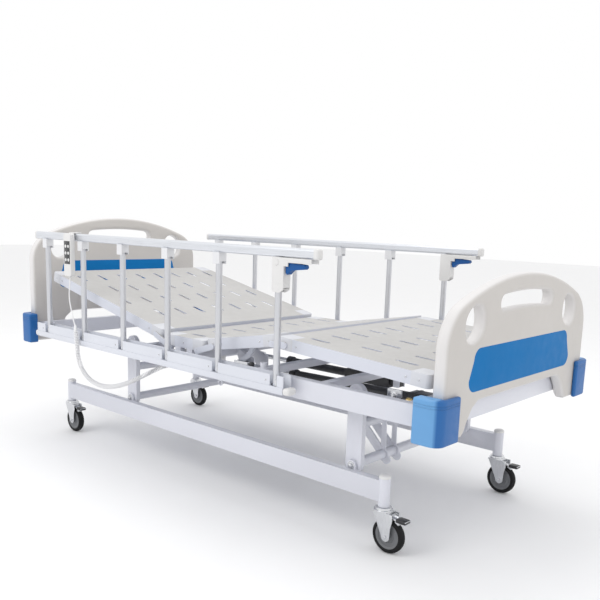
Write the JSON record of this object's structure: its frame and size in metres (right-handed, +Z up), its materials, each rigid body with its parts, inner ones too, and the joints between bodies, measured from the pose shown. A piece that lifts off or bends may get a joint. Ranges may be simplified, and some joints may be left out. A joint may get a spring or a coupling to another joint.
{
  "type": "adjustable hospital bed",
  "caption": "Electric hospital bed on castors with moulded end boards, folding side rails and a sectioned platform whose back, knee and height adjust.",
  "frame": {"origin": "centre of the bed on the floor", "axes": "+X from head to foot, +Z up, -Y the side that carries the handset"},
  "size_m": [2.2, 1.0298, 0.967],
  "materials": {
    "white_paint": "powder coat, satin",
    "section_paint": "powder coat, matt",
    "warm_plastic": "blow moulded, fine grain",
    "blue_panel": "satin",
    "blue_bumper": "satin",
    "rail_aluminium": "coated",
    "white_plastic": "satin",
    "lever_blue": "satin",
    "black_plastic": "satin",
    "bright_steel": "bright",
    "castor_chrome": "bright zinc",
    "castor_tyre": "matt rubber",
    "cord_white": "satin"
  },
  "bodies": {
    "base": {"base_frame": "white_paint"},
    "castor_1": {"castor_fork_1": "castor_chrome"},
    "wheel_1": {"castor_wheel_1": "castor_tyre"},
    "pedal_1": {"brake_pedal_1": "castor_chrome"},
    "castor_2": {"castor_fork_2": "castor_chrome"},
    "wheel_2": {"castor_wheel_2": "castor_tyre"},
    "pedal_2": {"brake_pedal_2": "castor_chrome"},
    "castor_3": {"castor_fork_3": "castor_chrome"},
    "wheel_3": {"castor_wheel_3": "castor_tyre"},
    "pedal_3": {"brake_pedal_3": "castor_chrome"},
    "castor_4": {"castor_fork_4": "castor_chrome"},
    "wheel_4": {"castor_wheel_4": "castor_tyre"},
    "pedal_4": {"brake_pedal_4": "castor_chrome"},
    "head_legs": {"head_legs": "white_paint"},
    "foot_legs": {"foot_legs": "white_paint"},
    "frame": {"main_frame": "white_paint", "headboard": "warm_plastic", "footboard": "warm_plastic", "board_panels": "blue_panel", "corner_bumpers": "blue_bumper", "rail_channels": "rail_aluminium", "seat_section": "section_paint", "back_actuator": "black_plastic", "knee_actuator": "black_plastic", "control_box": "white_plastic", "frame_fittings": "bright_steel", "cord_lead": "cord_white", "cord_coil": "cord_white"},
    "back": {"back_section": "section_paint"},
    "thigh": {"thigh_section": "section_paint"},
    "calf": {"calf_section": "section_paint"},
    "near_post_1": {"near_post_1": "rail_aluminium"},
    "near_post_2": {"near_post_2": "rail_aluminium"},
    "near_post_3": {"near_post_3": "rail_aluminium"},
    "near_post_4": {"near_post_4": "rail_aluminium"},
    "near_post_5": {"near_post_5": "rail_aluminium"},
    "near_post_6": {"near_post_6": "rail_aluminium"},
    "near_rail": {"near_handrail": "rail_aluminium", "near_latch_housing": "white_plastic", "handset": "white_plastic"},
    "near_lever": {"near_release_lever": "lever_blue"},
    "far_post_1": {"far_post_1": "rail_aluminium"},
    "far_post_2": {"far_post_2": "rail_aluminium"},
    "far_post_3": {"far_post_3": "rail_aluminium"},
    "far_post_4": {"far_post_4": "rail_aluminium"},
    "far_post_5": {"far_post_5": "rail_aluminium"},
    "far_post_6": {"far_post_6": "rail_aluminium"},
    "far_rail": {"far_handrail": "rail_aluminium", "far_latch_housing": "white_plastic"},
    "far_lever": {"far_release_lever": "lever_blue"},
    "back_rod": {"back_rod": "bright_steel"},
    "knee_rod": {"knee_rod": "bright_steel"},
    "lift_actuator": {"lift_actuator": "black_plastic"},
    "lift_rod": {"lift_rod": "bright_steel"},
    "button_1": {"button_1": "white_plastic"},
    "button_2": {"button_2": "white_plastic"},
    "button_3": {"button_3": "white_plastic"},
    "button_4": {"button_4": "white_plastic"},
    "button_5": {"button_5": "white_plastic"},
    "button_6": {"button_6": "white_plastic"}
  },
  "joints": [
    {"name": "castor_1_swivel", "type": "hinge", "parent": "base", "child": "castor_1", "pos_m": [-0.905, -0.365, 0.15], "axis": [0, 0, 1], "continuous": true},
    {"name": "castor_1_roll", "type": "hinge", "parent": "castor_1", "child": "wheel_1", "pos_m": [-0.881, -0.365, 0.055], "axis": [0, 1, 0], "continuous": true},
    {"name": "castor_1_brake", "type": "hinge", "parent": "castor_1", "child": "pedal_1", "pos_m": [-0.875, -0.365, 0.117], "axis": [0, 1, 0], "range_deg": [0, 5]},
    {"name": "castor_2_swivel", "type": "hinge", "parent": "base", "child": "castor_2", "pos_m": [-0.905, 0.365, 0.15], "axis": [0, 0, 1], "continuous": true},
    {"name": "castor_2_roll", "type": "hinge", "parent": "castor_2", "child": "wheel_2", "pos_m": [-0.881, 0.365, 0.055], "axis": [0, 1, 0], "continuous": true},
    {"name": "castor_2_brake", "type": "hinge", "parent": "castor_2", "child": "pedal_2", "pos_m": [-0.875, 0.365, 0.117], "axis": [0, 1, 0], "range_deg": [0, 5]},
    {"name": "castor_3_swivel", "type": "hinge", "parent": "base", "child": "castor_3", "pos_m": [0.845, -0.365, 0.15], "axis": [0, 0, 1], "continuous": true},
    {"name": "castor_3_roll", "type": "hinge", "parent": "castor_3", "child": "wheel_3", "pos_m": [0.869, -0.365, 0.055], "axis": [0, 1, 0], "continuous": true},
    {"name": "castor_3_brake", "type": "hinge", "parent": "castor_3", "child": "pedal_3", "pos_m": [0.875, -0.365, 0.117], "axis": [0, 1, 0], "range_deg": [0, 5]},
    {"name": "castor_4_swivel", "type": "hinge", "parent": "base", "child": "castor_4", "pos_m": [0.845, 0.365, 0.15], "axis": [0, 0, 1], "continuous": true},
    {"name": "castor_4_roll", "type": "hinge", "parent": "castor_4", "child": "wheel_4", "pos_m": [0.869, 0.365, 0.055], "axis": [0, 1, 0], "continuous": true},
    {"name": "castor_4_brake", "type": "hinge", "parent": "castor_4", "child": "pedal_4", "pos_m": [0.875, 0.365, 0.117], "axis": [0, 1, 0], "range_deg": [0, 5]},
    {"name": "height", "type": "hinge", "parent": "base", "child": "head_legs", "pos_m": [-0.47, 0, 0.232], "axis": [0, -1, 0], "range_deg": [0, 65]},
    {"name": "frame_level", "type": "hinge", "parent": "head_legs", "child": "frame", "pos_m": [-0.47, 0, 0.462], "axis": [0, -1, 0], "range_deg": [-65, 0]},
    {"name": "foot_leg_swing", "type": "hinge", "parent": "base", "child": "foot_legs", "pos_m": [0.705, 0, 0.232], "axis": [0, -1, 0], "range_deg": [0, 65]},
    {"name": "back_rise", "type": "hinge", "parent": "frame", "child": "back", "pos_m": [-0.105, 0, 0.506], "axis": [0, 1, 0], "range_deg": [-12, 68]},
    {"name": "knee_rise", "type": "hinge", "parent": "frame", "child": "thigh", "pos_m": [0.05, 0, 0.512], "axis": [0, -1, 0], "range_deg": [-10, 30]},
    {"name": "calf_fold", "type": "hinge", "parent": "thigh", "child": "calf", "pos_m": [0.42249, 0, 0.58783], "axis": [0, -1, 0], "range_deg": [-40.5, 13.5]},
    {"name": "near_rail_fold", "type": "hinge", "parent": "frame", "child": "near_post_1", "pos_m": [-0.87, -0.484, 0.476], "axis": [0, 1, 0], "range_deg": [0, 80]},
    {"name": "near_post_2_fold", "type": "hinge", "parent": "frame", "child": "near_post_2", "pos_m": [-0.597, -0.484, 0.476], "axis": [0, 1, 0], "range_deg": [0, 80]},
    {"name": "near_post_3_fold", "type": "hinge", "parent": "frame", "child": "near_post_3", "pos_m": [-0.324, -0.484, 0.476], "axis": [0, 1, 0], "range_deg": [0, 80]},
    {"name": "near_post_4_fold", "type": "hinge", "parent": "frame", "child": "near_post_4", "pos_m": [-0.051, -0.484, 0.476], "axis": [0, 1, 0], "range_deg": [0, 80]},
    {"name": "near_post_5_fold", "type": "hinge", "parent": "frame", "child": "near_post_5", "pos_m": [0.222, -0.484, 0.476], "axis": [0, 1, 0], "range_deg": [0, 80]},
    {"name": "near_post_6_fold", "type": "hinge", "parent": "frame", "child": "near_post_6", "pos_m": [0.495, -0.484, 0.476], "axis": [0, 1, 0], "range_deg": [0, 80]},
    {"name": "near_rail_level", "type": "hinge", "parent": "near_post_1", "child": "near_rail", "pos_m": [-0.87, -0.484, 0.852], "axis": [0, 1, 0], "range_deg": [-80, 0]},
    {"name": "near_release", "type": "hinge", "parent": "near_rail", "child": "near_lever", "pos_m": [0.537, -0.484, 0.853], "axis": [0, -1, 0], "range_deg": [0, 10], "stiffness_Nm_per_rad": 1.5, "springref_deg": -5.73},
    {"name": "far_rail_fold", "type": "hinge", "parent": "frame", "child": "far_post_1", "pos_m": [-0.87, 0.484, 0.476], "axis": [0, 1, 0], "range_deg": [0, 80]},
    {"name": "far_post_2_fold", "type": "hinge", "parent": "frame", "child": "far_post_2", "pos_m": [-0.597, 0.484, 0.476], "axis": [0, 1, 0], "range_deg": [0, 80]},
    {"name": "far_post_3_fold", "type": "hinge", "parent": "frame", "child": "far_post_3", "pos_m": [-0.324, 0.484, 0.476], "axis": [0, 1, 0], "range_deg": [0, 80]},
    {"name": "far_post_4_fold", "type": "hinge", "parent": "frame", "child": "far_post_4", "pos_m": [-0.051, 0.484, 0.476], "axis": [0, 1, 0], "range_deg": [0, 80]},
    {"name": "far_post_5_fold", "type": "hinge", "parent": "frame", "child": "far_post_5", "pos_m": [0.222, 0.484, 0.476], "axis": [0, 1, 0], "range_deg": [0, 80]},
    {"name": "far_post_6_fold", "type": "hinge", "parent": "frame", "child": "far_post_6", "pos_m": [0.495, 0.484, 0.476], "axis": [0, 1, 0], "range_deg": [0, 80]},
    {"name": "far_rail_level", "type": "hinge", "parent": "far_post_1", "child": "far_rail", "pos_m": [-0.87, 0.484, 0.852], "axis": [0, 1, 0], "range_deg": [-80, 0]},
    {"name": "far_release", "type": "hinge", "parent": "far_rail", "child": "far_lever", "pos_m": [0.537, 0.484, 0.853], "axis": [0, -1, 0], "range_deg": [0, 10], "stiffness_Nm_per_rad": 1.5, "springref_deg": -5.73},
    {"name": "back_push", "type": "slide", "parent": "frame", "child": "back_rod", "axis": [-1, 0, 0], "range_m": [-0.0165, 0.093]},
    {"name": "knee_pull", "type": "slide", "parent": "frame", "child": "knee_rod", "axis": [0.9998, 0, 0.0175], "range_m": [-0.013, 0.039]},
    {"name": "lift_swing", "type": "hinge", "parent": "frame", "child": "lift_actuator", "pos_m": [0.08, 0, 0.375], "axis": [0, 1, 0], "range_deg": [0, 7]},
    {"name": "lift_push", "type": "slide", "parent": "lift_actuator", "child": "lift_rod", "axis": [1, 0, -0.0063], "range_m": [0, 0.172]},
    {"name": "button_1_press", "type": "slide", "parent": "near_rail", "child": "button_1", "axis": [0, 1, 0], "range_m": [0, 0.001], "stiffness_N_per_m": 800, "springref_m": -0.0005},
    {"name": "button_2_press", "type": "slide", "parent": "near_rail", "child": "button_2", "axis": [0, 1, 0], "range_m": [0, 0.001], "stiffness_N_per_m": 800, "springref_m": -0.0005},
    {"name": "button_3_press", "type": "slide", "parent": "near_rail", "child": "button_3", "axis": [0, 1, 0], "range_m": [0, 0.001], "stiffness_N_per_m": 800, "springref_m": -0.0005},
    {"name": "button_4_press", "type": "slide", "parent": "near_rail", "child": "button_4", "axis": [0, 1, 0], "range_m": [0, 0.001], "stiffness_N_per_m": 800, "springref_m": -0.0005},
    {"name": "button_5_press", "type": "slide", "parent": "near_rail", "child": "button_5", "axis": [0, 1, 0], "range_m": [0, 0.001], "stiffness_N_per_m": 800, "springref_m": -0.0005},
    {"name": "button_6_press", "type": "slide", "parent": "near_rail", "child": "button_6", "axis": [0, 1, 0], "range_m": [0, 0.001], "stiffness_N_per_m": 800, "springref_m": -0.0005}
  ],
  "couplings": [
    {"joint": "frame_level", "follows": "height", "ratio": -1},
    {"joint": "foot_leg_swing", "follows": "height", "ratio": 1},
    {"joint": "calf_fold", "follows": "knee_rise", "ratio": -1.35},
    {"joint": "near_post_2_fold", "follows": "near_rail_fold", "ratio": 1},
    {"joint": "near_post_3_fold", "follows": "near_rail_fold", "ratio": 1},
    {"joint": "near_post_4_fold", "follows": "near_rail_fold", "ratio": 1},
    {"joint": "near_post_5_fold", "follows": "near_rail_fold", "ratio": 1},
    {"joint": "near_post_6_fold", "follows": "near_rail_fold", "ratio": 1},
    {"joint": "near_rail_level", "follows": "near_rail_fold", "ratio": -1},
    {"joint": "far_post_2_fold", "follows": "far_rail_fold", "ratio": 1},
    {"joint": "far_post_3_fold", "follows": "far_rail_fold", "ratio": 1},
    {"joint": "far_post_4_fold", "follows": "far_rail_fold", "ratio": 1},
    {"joint": "far_post_5_fold", "follows": "far_rail_fold", "ratio": 1},
    {"joint": "far_post_6_fold", "follows": "far_rail_fold", "ratio": 1},
    {"joint": "far_rail_level", "follows": "far_rail_fold", "ratio": -1},
    {"joint": "back_push", "follows": "back_rise", "m_per_rad": 0.078262},
    {"joint": "knee_pull", "follows": "knee_rise", "m_per_rad": 0.073486},
    {"joint": "lift_swing", "follows": "height", "ratio": 0.10651},
    {"joint": "lift_push", "follows": "height", "m_per_rad": 0.15031}
  ]
}
